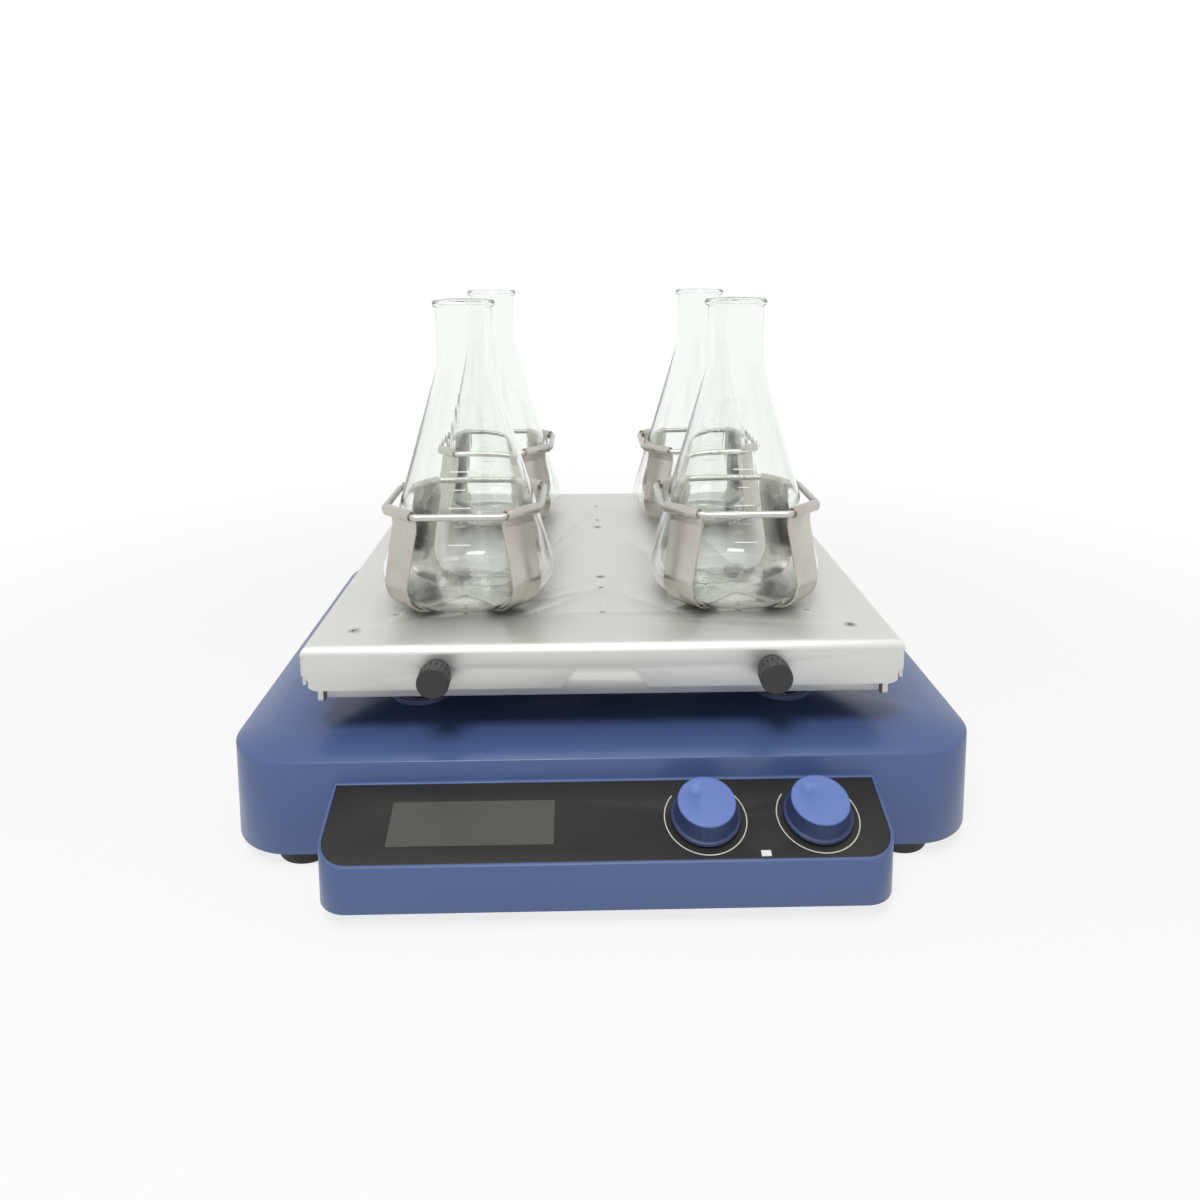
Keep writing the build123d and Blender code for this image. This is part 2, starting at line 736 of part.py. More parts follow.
def make_platform_bearings():
    shapes = [bearing(pin_bearing, collar_top, 0, orbit_radius)]
    shapes += [bearing(idler_pin_bearing, collar_top, x, y + orbit_radius) for x, y in idler_places]
    return shapes


def make_hub_screws():
    seat = tray_under - carrier_sheet - 4
    shapes = []
    for x, y, radius, pilot in hub_layout():
        shank = 2 * (pilot - fit_gap)
        for n in range(4):
            a = radians(45 + 90 * n)
            shapes.append(pan_screw(shank * 1.8, shank, seat, 4 + carrier_sheet, x + radius * cos(a), y + radius * sin(a)))
    return shapes


# Clamp tray
def tray_hole_places():
    places = [(n * hole_pitch, y) for y in (-hole_row_y, hole_row_y) for n in range(-3, 4)]
    return places + [(0, -77), (0, 77)]


def clamp_screw_places():
    return [(x + dx, y) for x, y in flask_places for dx in (-16, 16)]


def make_clamp_tray():
    half = tray_size / 2
    low = tray_top - tray_flange
    tray = Pos(0, tray_y, (low + tray_top) / 2) * Box(tray_size, tray_size, tray_flange)
    long_edges = tray.edges().group_by(Axis.Z)[-1]
    tray = fillet(long_edges, tray_bend)
    inner = 2 * (half - tray_sheet)
    hollow = Pos(0, tray_y, (low + tray_under) / 2) * Box(inner, inner, tray_under - low)
    tray -= fillet(hollow.edges().group_by(Axis.Z)[-1], tray_bend - tray_sheet)
    # Each flange stops short of the corner, with rounded lower corners
    for turn in range(4):
        gap = 1.2
        relief = box(half - gap, half + 1, -half - 1, -half + tray_sheet + 0.5, low - 1, tray_top - tray_bend)
        corner = Pos(half - gap, -half, low) * Rot(90, 0, 0) * Box(16, 16, 8)
        disc = Pos(half - gap - 8, -half, low + 8) * Rot(90, 0, 0) * Cylinder(8, 12)
        trim = corner - disc
        keep = box(half - gap - 8, half + 9, -half - 5, -half + 5, low - 9, low + 8)
        tray -= Pos(0, tray_y) * Rot(0, 0, 90 * turn) * (relief + (trim & keep))
        mirror_trim = mirror(trim & keep, Plane.YZ)
        tray -= Pos(0, tray_y) * Rot(0, 0, 90 * turn) * mirror_trim
    # Finger notch in the front flange
    front = tray_y - half
    with BuildSketch(Plane.XZ.offset(-front + 1)) as notch:
        with BuildLine():
            Polyline(
                (-notch_bottom / 2, low - 1), (-notch_bottom / 2, low),
                (-notch_top / 2, low + notch_height), (notch_top / 2, low + notch_height),
                (notch_bottom / 2, low), (notch_bottom / 2, low - 1), close=True,
            )
        make_face()
        fillet(notch.vertices().group_by(Axis.Y)[-1], 3)
    tray -= extrude(notch.sketch, -tray_sheet - 2)
    # Slots that drop over the thumb screws
    slot = thumb_stud / 2 + part_gap
    for x in (-thumb_x, thumb_x):
        tray -= Pos(x, front + 1, thumb_z) * Rot(90, 0, 0) * Cylinder(slot, 4)
        tray -= box(x - slot, x + slot, front - 1, front + tray_sheet + 0.5, low - 1, thumb_z)
    for x, y in tray_hole_places():
        tray -= cylinder(small_hole / 2, tray_under, tray_top, x, tray_y + y)
    for x, y in clamp_screw_places():
        tray -= cylinder(2 + fit_gap, tray_under, tray_top, x, y)
    for x, y in centre_screw_places() + corner_screw_places():
        tray -= sunk_hole(7.5, 4, tray_top, tray_under, x, y)
    return tray


def corner_screw_places():
    return [(x, tray_y + y) for y in (-corner_hole_y, corner_hole_y) for x in (-corner_hole_x, corner_hole_x)]


def centre_screw_places():
    return [(0, tray_y - 57), (0, tray_y + 57)]


def make_locating_studs():
    shapes = []
    for x, y in corner_screw_places() + centre_screw_places():
        stud = cylinder(locating_stud / 2, tray_under - locating_depth, tray_under, x, y)
        stud = chamfer(stud.edges().group_by(Axis.Z)[0], 1)
        shapes.append(stud - cylinder(2 + fit_gap, tray_under - locating_depth, tray_under, x, y))
    return shapes


def make_tray_screws():
    shapes = [sunk_screw(7.5, 4, tray_top, 9, x, y) for x, y in corner_screw_places() + centre_screw_places()]
    top = tray_top + clamp_disc_height + arm_sheet
    shapes += [sunk_screw(7.5, 4, top, top - tray_under, x, y) for x, y in clamp_screw_places()]
    return shapes


# Thumb screws: a plain stud that travels, and the knob that turns on its end
def make_thumb_stud(x):
    front = tray_y - tray_size / 2
    inner = front + tray_sheet + part_gap + 3 + nut_height
    outer = front - thumb_length + 3
    return Pos(x, (inner + outer) / 2, thumb_z) * Rot(90, 0, 0) * Cylinder(thumb_stud / 2, inner - outer)


def make_thumb_knob(x):
    front = tray_y - tray_size / 2
    with BuildSketch(Plane.XZ) as section:
        with BuildLine():
            Polyline(
                (0, part_gap), (thumb_neck / 2, part_gap), (thumb_neck / 2, 5), (thumb_head / 2, 6),
                (thumb_head / 2, thumb_length), (0, thumb_length), close=True,
            )
        make_face()
    knob = revolve(section.sketch, Axis.Z)
    knob = fillet(knob.edges().group_by(Axis.Z)[-1], 1)
    grips = 18
    for n in range(grips):
        groove = Rot(0, 0, 360 * n / grips) * Pos(thumb_head / 2 + 0.3, 0, (6.8 + thumb_length) / 2)
        knob -= groove * Cylinder(0.8, thumb_length - 8.4)
    knob -= cylinder(thumb_stud / 2 + running_gap, part_gap, thumb_length - 3)
    return Pos(x, front, thumb_z) * Rot(90, 0, 0) * knob


# Flasks
def flask_profile(inset, floor, height):
    # Half section from the axis: flat floor, round corner, straight cone, neck
    radius = flask_corner - inset
    cx, cz = flask_body_radius - flask_corner, flask_corner
    nx, nz = flask_neck_radius - inset, flask_shoulder
    reach = hypot(nx - cx, nz - cz)
    turn = degrees(atan2(nz - cz, nx - cx) - acos(radius / reach))
    tangent = (cx + radius * cos(radians(turn)), cz + radius * sin(radians(turn)))
    with BuildSketch(Plane.XZ) as section:
        with BuildLine():
            Line((0, floor), (cx, floor))
            CenterArc((cx, cz), radius, -90, 90 + turn)
            FilletPolyline(tangent, (nx, nz), (nx, height), radius=flask_shoulder_blend)
            Polyline((nx, height), (0, height), (0, floor))
        make_face()
    return section.sketch


def make_flask(x, y):
    body = revolve(flask_profile(0, 0, flask_height - 2), Axis.Z)
    # Fire-polished bead round the mouth
    bead_radius = 2.3
    bead = flask_rim_radius - bead_radius
    body += Pos(0, 0, flask_height - bead_radius) * Torus(bead, bead_radius)
    hollow = revolve(flask_profile(flask_wall, flask_wall, flask_height + 1), Axis.Z)
    body -= hollow
    return Pos(x, y, flask_floor) * body


# Clamps
def strip(points, radii, thickness):
    # Section of a bent sheet: both sides of a filleted centre line
    def side(offset):
        moved = []
        for n, (px, pz) in enumerate(points):
            dirs = []
            for m in (n - 1, n):
                if 0 <= m < len(points) - 1:
                    dx, dz = points[m + 1][0] - points[m][0], points[m + 1][1] - points[m][1]
                    size = hypot(dx, dz)
                    dirs.append((-dz / size, dx / size))
            nx = sum(d[0] for d in dirs) / len(dirs)
            nz = sum(d[1] for d in dirs) / len(dirs)
            scale = offset / (nx * nx + nz * nz)
            moved.append((px + nx * scale, pz + nz * scale))
        return moved

    left, right = side(thickness / 2), side(-thickness / 2)
    turns = []
    for n in range(1, len(points) - 1):
        ax, az = points[n][0] - points[n - 1][0], points[n][1] - points[n - 1][1]
        bx, bz = points[n + 1][0] - points[n][0], points[n + 1][1] - points[n][1]
        turns.append(1 if ax * bz - az * bx > 0 else -1)
    with BuildSketch(Plane.XZ) as section:
        with BuildLine():
            FilletPolyline(*left, radius=[r - t * thickness / 2 for r, t in zip(radii, turns)])
            FilletPolyline(*right, radius=[r + t * thickness / 2 for r, t in zip(radii, turns)])
            Line(left[0], right[0])
            Line(left[-1], right[-1])
        make_face()
    return section.sketch


def ring_corner():
    # Corner cut of the ring: the curl, two bends and a little play
    return (arm_top_width + 2 * ring_bend * tan(radians(22.5)) + 1) / sqrt(2)


def curl_radius():
    return (2 * ring_half - ring_corner()) / sqrt(2)


def make_clamp(x, y):
    sheet_mid = clamp_disc_height + arm_sheet / 2
    bend = flask_corner + arm_gap + arm_sheet / 2
    widest = flask_body_radius + arm_gap + arm_sheet / 2
    foot = widest + bend * (1 / tan(radians((90 - arm_lean) / 2)) - 1)
    flare = foot - tan(radians(arm_lean)) * (arm_flare_height - sheet_mid)
    hollow = ring_wire / 2 + 0.3
    curl = curl_radius()
    end = (curl - hollow - arm_sheet / 2, ring_height)
    section = strip([(0, sheet_mid), (foot, sheet_mid), (flare, arm_flare_height), end], [bend, 3], arm_sheet)
    arm = extrude(section, arm_top_width / 2, both=True)
    # The arm widens towards the top
    low, high = arm_low_width / 2, arm_top_width / 2
    with BuildSketch(Plane.YZ.offset(-1)) as outline:
        with BuildLine():
            Polyline((-low, 0), (-high, ring_height), (-high, 80), (high, 80), (high, ring_height), (low, 0), close=True)
        make_face()
    arm = arm & extrude(outline.sketch, 80)
    tube = Cylinder(hollow + arm_sheet, arm_top_width) - Cylinder(hollow, arm_top_width)
    arm += Pos(curl, 0, ring_height) * Rot(90, 0, 0) * tube
    clamp = cylinder(clamp_disc / 2, 0, clamp_disc_height)
    for n in range(4):
        clamp += Rot(0, 0, 45 + 90 * n) * arm
    for dx in (-16, 16):
        clamp -= sunk_hole(7.5, 4, clamp_disc_height + arm_sheet, 0, dx, 0)
    return Pos(x, y, tray_top) * clamp


def make_retaining_spring(x, y):
    cut = ring_corner()
    corners = []
    for sx, sy in ((1, 1), (-1, 1), (-1, -1), (1, -1)):
        a = (sx * ring_half, sy * (ring_half - cut))
        b = (sx * (ring_half - cut), sy * ring_half)
        corners += [a, b] if sx * sy > 0 else [b, a]
    path = fillet(Polygon(*corners, align=None).vertices(), ring_bend).face().outer_wire()
    start = path @ 0
    section = Plane(origin=start, z_dir=path % 0) * Circle(ring_wire / 2)
    ring = sweep(section, path=path)
    return Pos(x, y, tray_top + ring_height) * ring


def group(shapes):
    return Compound(children=[s if isinstance(s, Solid) else s.solid() for s in shapes])


nodes = {
    "base_housing": make_base_housing,
    "base_plate": make_base_plate,
    "underside_screws": make_underside_screws,
    "rubber_feet": make_feet,
    "console_housing": make_console_housing,
    "control_panel": make_control_panel,
    "display_window": make_display_window,
    "indicator_lens": make_indicator_lens,
    "lcd_module": make_lcd_module,
    "control_board": make_control_board,
    "rotary_encoders": make_rotary_encoders,
    "power_supply": make_power_supply,
    "power_inlet": make_power_inlet,
    "switch_bezel": make_switch_bezel,
    "power_rocker": make_power_rocker,
    "main_bearing_housing": make_main_bearing_housing,
    "idler_bearing_blocks": make_idler_blocks,
    "base_bearings": make_base_bearings,
    "mechanism_screws": make_mechanism_screws,
    "drive_shaft": make_drive_shaft,
    "drive_pulley": make_drive_pulley,
    "counterweight": make_counterweight,
    "counterweight_screws": make_counterweight_screws,
    "drive_belt": make_drive_belt,
    "motor_mount": make_motor_mount,
    "motor_body": make_motor_body,
    "motor_shaft": make_motor_shaft,
    "motor_pulley": make_motor_pulley,
    "carrier_plate": make_carrier_plate,
    "drive_hub": make_drive_hub,
    "idler_hubs": make_idler_hubs,
    "platform_bearings": make_platform_bearings,
    "hub_screws": make_hub_screws,
    "clamp_tray": make_clamp_tray,
    "locating_studs": make_locating_studs,
    "tray_screws": make_tray_screws,
}
shapes = {name: make() for name, make in nodes.items()}
for corner, place in zip(("front_left", "front_right", "back_left", "back_right"), idler_places):
    shapes["idler_crank_" + corner] = make_idler_crank(*place)
for corner, place in zip(("front_left", "front_right", "back_left", "back_right"), flask_places):
    shapes["flask_" + corner] = make_flask(*place)
    shapes["clamp_" + corner] = make_clamp(*place)
    shapes["retaining_spring_" + corner] = make_retaining_spring(*place)
for side, x in (("left", -thumb_x), ("right", thumb_x)):
    shapes["thumb_stud_" + side] = make_thumb_stud(x)
    shapes["thumb_knob_" + side] = make_thumb_knob(x)
for use, x in zip(("speed", "time"), knob_x):
    shapes[use + "_shaft"] = make_encoder_shaft(x)
    shapes[use + "_knob"] = make_control_knob(x)

for name, shape in shapes.items():
    solid = group(shape) if isinstance(shape, list) else shape
    export_step(solid, "parts/" + name + ".step")
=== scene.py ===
import bmesh
import bpy
import json
from math import acos, atan2, cos, degrees, hypot, pi, radians, sin, tan
from mathutils import Matrix, Vector


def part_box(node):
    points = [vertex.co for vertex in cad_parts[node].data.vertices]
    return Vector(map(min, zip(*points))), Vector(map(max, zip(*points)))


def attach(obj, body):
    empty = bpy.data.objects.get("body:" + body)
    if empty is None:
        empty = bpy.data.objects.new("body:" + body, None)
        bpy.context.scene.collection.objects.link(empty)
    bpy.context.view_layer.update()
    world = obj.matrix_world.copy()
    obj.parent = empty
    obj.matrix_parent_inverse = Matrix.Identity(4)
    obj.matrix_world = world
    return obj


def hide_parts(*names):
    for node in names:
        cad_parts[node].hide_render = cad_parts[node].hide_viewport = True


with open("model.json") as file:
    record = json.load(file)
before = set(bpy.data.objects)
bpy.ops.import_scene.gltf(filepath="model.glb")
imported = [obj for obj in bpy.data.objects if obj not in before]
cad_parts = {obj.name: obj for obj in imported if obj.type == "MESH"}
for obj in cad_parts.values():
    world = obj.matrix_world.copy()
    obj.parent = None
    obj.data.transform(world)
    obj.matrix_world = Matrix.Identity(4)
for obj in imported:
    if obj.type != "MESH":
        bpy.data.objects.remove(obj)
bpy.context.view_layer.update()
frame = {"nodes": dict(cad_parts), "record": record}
nodes = frame["nodes"]
mm = 0.001
corners = ("front_left", "front_right", "back_left", "back_right")
print("frame loaded:", len(nodes), "nodes")


# camera at the photograph's angle
cameraView = {
    "place": (-0.01113, -0.64089, 0.33114),
    "yaw": 1.150,      # degrees towards +X
    "pitch": 7.144,    # degrees down
    "roll": -0.266,
    "lens": 27.80,
    "shift": (-0.0005, -0.1869),
}


def addCamera(view):
    yaw, pitch, roll = (radians(view[k]) for k in ("yaw", "pitch", "roll"))
    forward = Vector((sin(yaw) * cos(pitch), cos(yaw) * cos(pitch), -sin(pitch)))
    side = Vector((cos(yaw), -sin(yaw), 0))
    up = side.cross(forward)
    right = cos(roll) * side + sin(roll) * up
    above = -sin(roll) * side + cos(roll) * up
    turn = Matrix((right, above, -forward)).transposed().to_4x4()
    bpy.ops.object.camera_add()
    camera = bpy.context.object
    camera.matrix_world = Matrix.Translation(view["place"]) @ turn
    camera.data.lens = view["lens"]
    camera.data.shift_x, camera.data.shift_y = view["shift"]
    camera.data.clip_start = 0.01
    bpy.context.scene.camera = camera


addCamera(cameraView)
print("camera placed")


# small tools for modelling
def deselectAll():
    if bpy.context.object and bpy.context.object.mode != "OBJECT":
        bpy.ops.object.mode_set(mode="OBJECT")
    bpy.ops.object.select_all(action="DESELECT")


def makeActive(piece):
    deselectAll()
    piece.select_set(True)
    bpy.context.view_layer.objects.active = piece


def startPiece(name):
    # names the primitive that was just added and opens it in edit mode with nothing selected
    piece = bpy.context.object
    piece.name = piece.data.name = name
    bpy.ops.object.mode_set(mode="EDIT")
    bpy.ops.mesh.select_all(action="DESELECT")
    return piece


def pickFaces(piece, rule):
    bpy.ops.mesh.select_mode(type="FACE")
    bpy.ops.mesh.select_all(action="DESELECT")
    shape = bmesh.from_edit_mesh(piece.data)
    for face in shape.faces:
        face.select_set(rule(face.calc_center_median(), face.normal))
    bmesh.update_edit_mesh(piece.data)


def pickEdges(piece, rule):
    bpy.ops.mesh.select_mode(type="EDGE")
    bpy.ops.mesh.select_all(action="DESELECT")
    shape = bmesh.from_edit_mesh(piece.data)
    for edge in shape.edges:
        edge.select_set(rule(edge.verts[0].co, edge.verts[1].co))
    bmesh.update_edit_mesh(piece.data)


def applyModifiers(piece):
    makeActive(piece)
    for modifier in list(piece.modifiers):
        bpy.ops.object.modifier_apply(modifier=modifier.name)


def settle(piece):
    # the piece's place goes into its mesh, and its object to the origin
    makeActive(piece)
    bpy.ops.object.transform_apply(location=True, rotation=True, scale=True)


def smoothByAngle(piece, angle=30):
    makeActive(piece)
    bpy.ops.object.shade_smooth_by_angle(angle=radians(angle))


def finishPiece(piece, material, body, replaced=()):
    settle(piece)
    piece.data.materials.clear()
    piece.data.materials.append(material)
    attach(piece, body)
    if replaced:
        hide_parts(*replaced)
    return piece


def turnedPiece(name, rows, sides):
    # a ring is drawn at the first row, then extruded and scaled from row to row (radius, height),
    # and both ends are closed by a fan of triangles
    deselectAll()
    radius, height = rows[0]
    bpy.ops.mesh.primitive_circle_add(vertices=sides, radius=radius, location=(0, 0, 0))
    piece = startPiece(name)
    bpy.ops.mesh.select_all(action="SELECT")
    bpy.ops.transform.translate(value=(0, 0, height))
    bpy.ops.mesh.edge_face_add()
    bpy.ops.mesh.poke()
    pickEdges(piece, lambda a, b: min(a.xy.length, b.xy.length) > radius * 0.99)
    for newRadius, newHeight in rows[1:]:
        bpy.ops.mesh.extrude_edges_move(
            TRANSFORM_OT_translate={"value": (0, 0, newHeight - height)})
        share = newRadius / radius
        bpy.ops.transform.resize(value=(share, share, 1), center_override=(0, 0, newHeight))
        radius, height = newRadius, newHeight
    bpy.ops.mesh.edge_face_add()
    bpy.ops.mesh.poke()
    bpy.ops.mesh.select_all(action="SELECT")
    bpy.ops.mesh.remove_doubles(threshold=1e-7)
    bpy.ops.mesh.normals_make_consistent(inside=False)
    bpy.ops.object.mode_set(mode="OBJECT")
    return piece


merging = {
    "distance": 2e-6,      # points closer than this become one
    "flatAngle": 1,        # degrees between faces that count as one flat face
    "segments": 2,
}


def dressedCopy(node, name, bevel=0.0, angle=30):
    # a merged copy of a CAD node with softened edges, to stand for it
    piece = bpy.data.objects.new(name, nodes[node].data.copy())
    piece.data.name = name
    bpy.context.scene.collection.objects.link(piece)
    makeActive(piece)
    bpy.ops.object.mode_set(mode="EDIT")
    bpy.ops.mesh.select_all(action="SELECT")
    bpy.ops.mesh.remove_doubles(threshold=merging["distance"])
    bpy.ops.mesh.dissolve_limited(angle_limit=radians(merging["flatAngle"]))
    bpy.ops.object.mode_set(mode="OBJECT")
    if bevel:
        edge = piece.modifiers.new("soften", "BEVEL")
        edge.width = bevel
        edge.segments = merging["segments"]
        edge.limit_method = "ANGLE"
        edge.angle_limit = radians(angle)
        edge.harden_normals = False
        applyModifiers(piece)
    smoothByAngle(piece, angle)
    return piece


def arcRows(centre, radius, start, end, count):
    # points of an arc in (radius, height), angles in degrees from the outward direction
    rows = []
    for n in range(count + 1):
        a = radians(start + (end - start) * n / count)
        rows.append((centre[0] + radius * cos(a), centre[1] + radius * sin(a)))
    return rows


# effects that several finishes share
def newGroup(name, inputs, outputs):
    group = bpy.data.node_groups.new(name, "ShaderNodeTree")
    for label, kind, value in inputs:
        socket = group.interface.new_socket(name=label, in_out="INPUT", socket_type=kind)
        socket.default_value = value
    for label, kind in outputs:
        group.interface.new_socket(name=label, in_out="OUTPUT", socket_type=kind)
    source = group.nodes.new("NodeGroupInput")
    target = group.nodes.new("NodeGroupOutput")
    return group, source, target


def makeGrainGroup():
    # fine grain, stretched along an axis for a brushed finish
    group, source, target = newGroup(
        "fineGrain",
        [("Stretch", "NodeSocketVector", (1, 1, 1)), ("Scale", "NodeSocketFloat", 900.0)],
        [("Height", "NodeSocketFloat"), ("Spread", "NodeSocketFloat")])
    place = group.nodes.new("ShaderNodeTexCoord")
    mapping = group.nodes.new("ShaderNodeMapping")
    noise = group.nodes.new("ShaderNodeTexNoise")
    noise.inputs["Detail"].default_value = 2.0
    levels = group.nodes.new("ShaderNodeMapRange")
    levels.inputs["From Min"].default_value = 0.3
    levels.inputs["From Max"].default_value = 0.7
    link = group.links.new
    link(place.outputs["Object"], mapping.inputs["Vector"])
    link(source.outputs["Stretch"], mapping.inputs["Scale"])
    link(mapping.outputs["Vector"], noise.inputs["Vector"])
    link(source.outputs["Scale"], noise.inputs["Scale"])
    link(noise.outputs["Fac"], target.inputs["Height"])
    link(noise.outputs["Fac"], levels.inputs["Value"])
    link(levels.outputs["Result"], target.inputs["Spread"])
    return group


def makeHandlingGroup():
    # slow, uneven patches as handling and cleaning leave them
    group, source, target = newGroup(
        "handling",
        [("Size", "NodeSocketFloat", 9.0), ("Amount", "NodeSocketFloat", 0.5)],
        [("Mask", "NodeSocketFloat")])
    place = group.nodes.new("ShaderNodeTexCoord")
    noise = group.nodes.new("ShaderNodeTexNoise")
    noise.inputs["Detail"].default_value = 5.0
    noise.inputs["Roughness"].default_value = 0.62
    levels = group.nodes.new("ShaderNodeMapRange")
    levels.inputs["From Min"].default_value = 0.35
    levels.inputs["From Max"].default_value = 0.68
    amount = group.nodes.new("ShaderNodeMath")
    amount.operation = "MULTIPLY"
    link = group.links.new
    link(place.outputs["Object"], noise.inputs["Vector"])
    link(source.outputs["Size"], noise.inputs["Scale"])
    link(noise.outputs["Fac"], levels.inputs["Value"])
    link(levels.outputs["Result"], amount.inputs[0])
    link(source.outputs["Amount"], amount.inputs[1])
    link(amount.outputs["Value"], target.inputs["Mask"])
    return group


grainGroup = makeGrainGroup()
handlingGroup = makeHandlingGroup()


# finishes
def newFinish(name):
    material = bpy.data.materials.new(name)
    material.use_nodes = True
    tree = material.node_tree
    shader = tree.nodes["Principled BSDF"]
    return material, tree, shader


def useGroup(tree, group, **values):
    node = tree.nodes.new("ShaderNodeGroup")
    node.node_tree = group
    for label, value in values.items():
        node.inputs[label].default_value = value
    return node


def addRoughness(tree, shader, size, low, high):
    # handling patches of this size move the roughness between low and high
    handling = useGroup(tree, handlingGroup, Size=size, Amount=1.0)
    rough = tree.nodes.new("ShaderNodeMapRange")
    rough.inputs["To Min"].default_value = low
    rough.inputs["To Max"].default_value = high
    tree.links.new(handling.outputs["Mask"], rough.inputs["Value"])
    tree.links.new(rough.outputs["Result"], shader.inputs["Roughness"])
    return handling.outputs["Mask"]


def addRelief(tree, shader, height, strength, depth):
    bump = tree.nodes.new("ShaderNodeBump")
    bump.inputs["Strength"].default_value = strength
    bump.inputs["Distance"].default_value = depth
    tree.links.new(height, bump.inputs["Height"])
    tree.links.new(bump.outputs["Normal"], shader.inputs["Normal"])


def solidFinish(name, look):
    # paint, plastic, rubber and plain metal: a colour that drifts, a roughness that drifts, and a fine grain
    material, tree, shader = newFinish(name)
    link = tree.links.new
    patches = addRoughness(tree, shader, look.get("patch", 9.0), *look["rough"])
    grain = useGroup(tree, grainGroup, Stretch=look.get("stretch", (1, 1, 1)), Scale=look["grain"])
    addRelief(tree, shader, grain.outputs["Height"], look["relief"], look.get("depth", 0.0001))
    colour = tree.nodes.new("ShaderNodeMix")
    colour.data_type = "RGBA"
    colour.inputs["A"].default_value = (*look["colour"], 1)
    colour.inputs["B"].default_value = (*look.get("drift", look["colour"]), 1)
    link(patches, colour.inputs["Factor"])
    speckle = tree.nodes.new("ShaderNodeMix")
    speckle.data_type = "RGBA"
    speckle.blend_type = "MULTIPLY"
    speckle.inputs["Factor"].default_value = look.get("speckle", 0.1)
    shade = tree.nodes.new("ShaderNodeMapRange")
    shade.inputs["To Min"].default_value = 0.6
    shade.inputs["To Max"].default_value = 1.3
    link(grain.outputs["Spread"], shade.inputs["Value"])
    link(colour.outputs["Result"], speckle.inputs["A"])
    link(shade.outputs["Result"], speckle.inputs["B"])
    link(speckle.outputs["Result"], shader.inputs["Base Color"])
    shader.inputs["Metallic"].default_value = look.get("metal", 0.0)
    shader.inputs["Specular IOR Level"].default_value = look.get("gloss", 0.5)
    return material


def glassFinish(name, look):
    material, tree, shader = newFinish(name)
    shader.inputs["Base Color"].default_value = (*look["tint"], 1)
    shader.inputs["Transmission Weight"].default_value = 1.0
    shader.inputs["Roughness"].default_value = 0.0
    shader.inputs["IOR"].default_value = look["bend"]
    return material


def springFinish(name, look):
    # polished wire, close wound: fine turns follow the length stored along the ring
    material, tree, shader = newFinish(name)
    link = tree.links.new
    length = tree.nodes.new("ShaderNodeAttribute")
    length.attribute_name = "alongRing"
    turns = tree.nodes.new("ShaderNodeMath")
    turns.operation = "MULTIPLY"
    turns.inputs[1].default_value = 2 * pi / look["turn"]
    wave = tree.nodes.new("ShaderNodeMath")
    wave.operation = "SINE"
    link(length.outputs["Fac"], turns.inputs[0])
    link(turns.outputs["Value"], wave.inputs[0])
    addRelief(tree, shader, wave.outputs["Value"], look["relief"], look["depth"])
    addRoughness(tree, shader, look["patch"], *look["rough"])
    shader.inputs["Base Color"].default_value = (*look["colour"], 1)
    shader.inputs["Metallic"].default_value = 1.0
    return material


def knobFinish(name, look):
    # navy skirt with a pale lowest edge under a lighter cap, told apart by the height above the panel
    material, tree, shader = newFinish(name)
    link = tree.links.new
    place = tree.nodes.new("ShaderNodeTexCoord")
    rise = tree.nodes.new("ShaderNodeVectorMath")
    rise.operation = "DOT_PRODUCT"
    rise.inputs[1].default_value = look["normal"]
    height = tree.nodes.new("ShaderNodeMapRange")
    height.inputs["From Min"].default_value = look["panel"]
    height.inputs["From Max"].default_value = look["panel"] + look["top"]
    bands = tree.nodes.new("ShaderNodeValToRGB")
    bands.color_ramp.interpolation = "CONSTANT"
    first, last = bands.color_ramp.elements
    first.color = (*look["edge"], 1)
    last.position = look["capShare"]
    last.color = (*look["cap"], 1)
    skirt = bands.color_ramp.elements.new(look["edgeShare"])
    skirt.color = (*look["skirt"], 1)
    link(place.outputs["Object"], rise.inputs[0])
    link(rise.outputs["Value"], height.inputs["Value"])
    link(height.outputs["Result"], bands.inputs["Fac"])
    link(bands.outputs["Color"], shader.inputs["Base Color"])
    grain = useGroup(tree, grainGroup, Scale=look["grain"])
    addRelief(tree, shader, grain.outputs["Height"], look["relief"], look["depth"])
    addRoughness(tree, shader, look["patch"], *look["rough"])
    return material


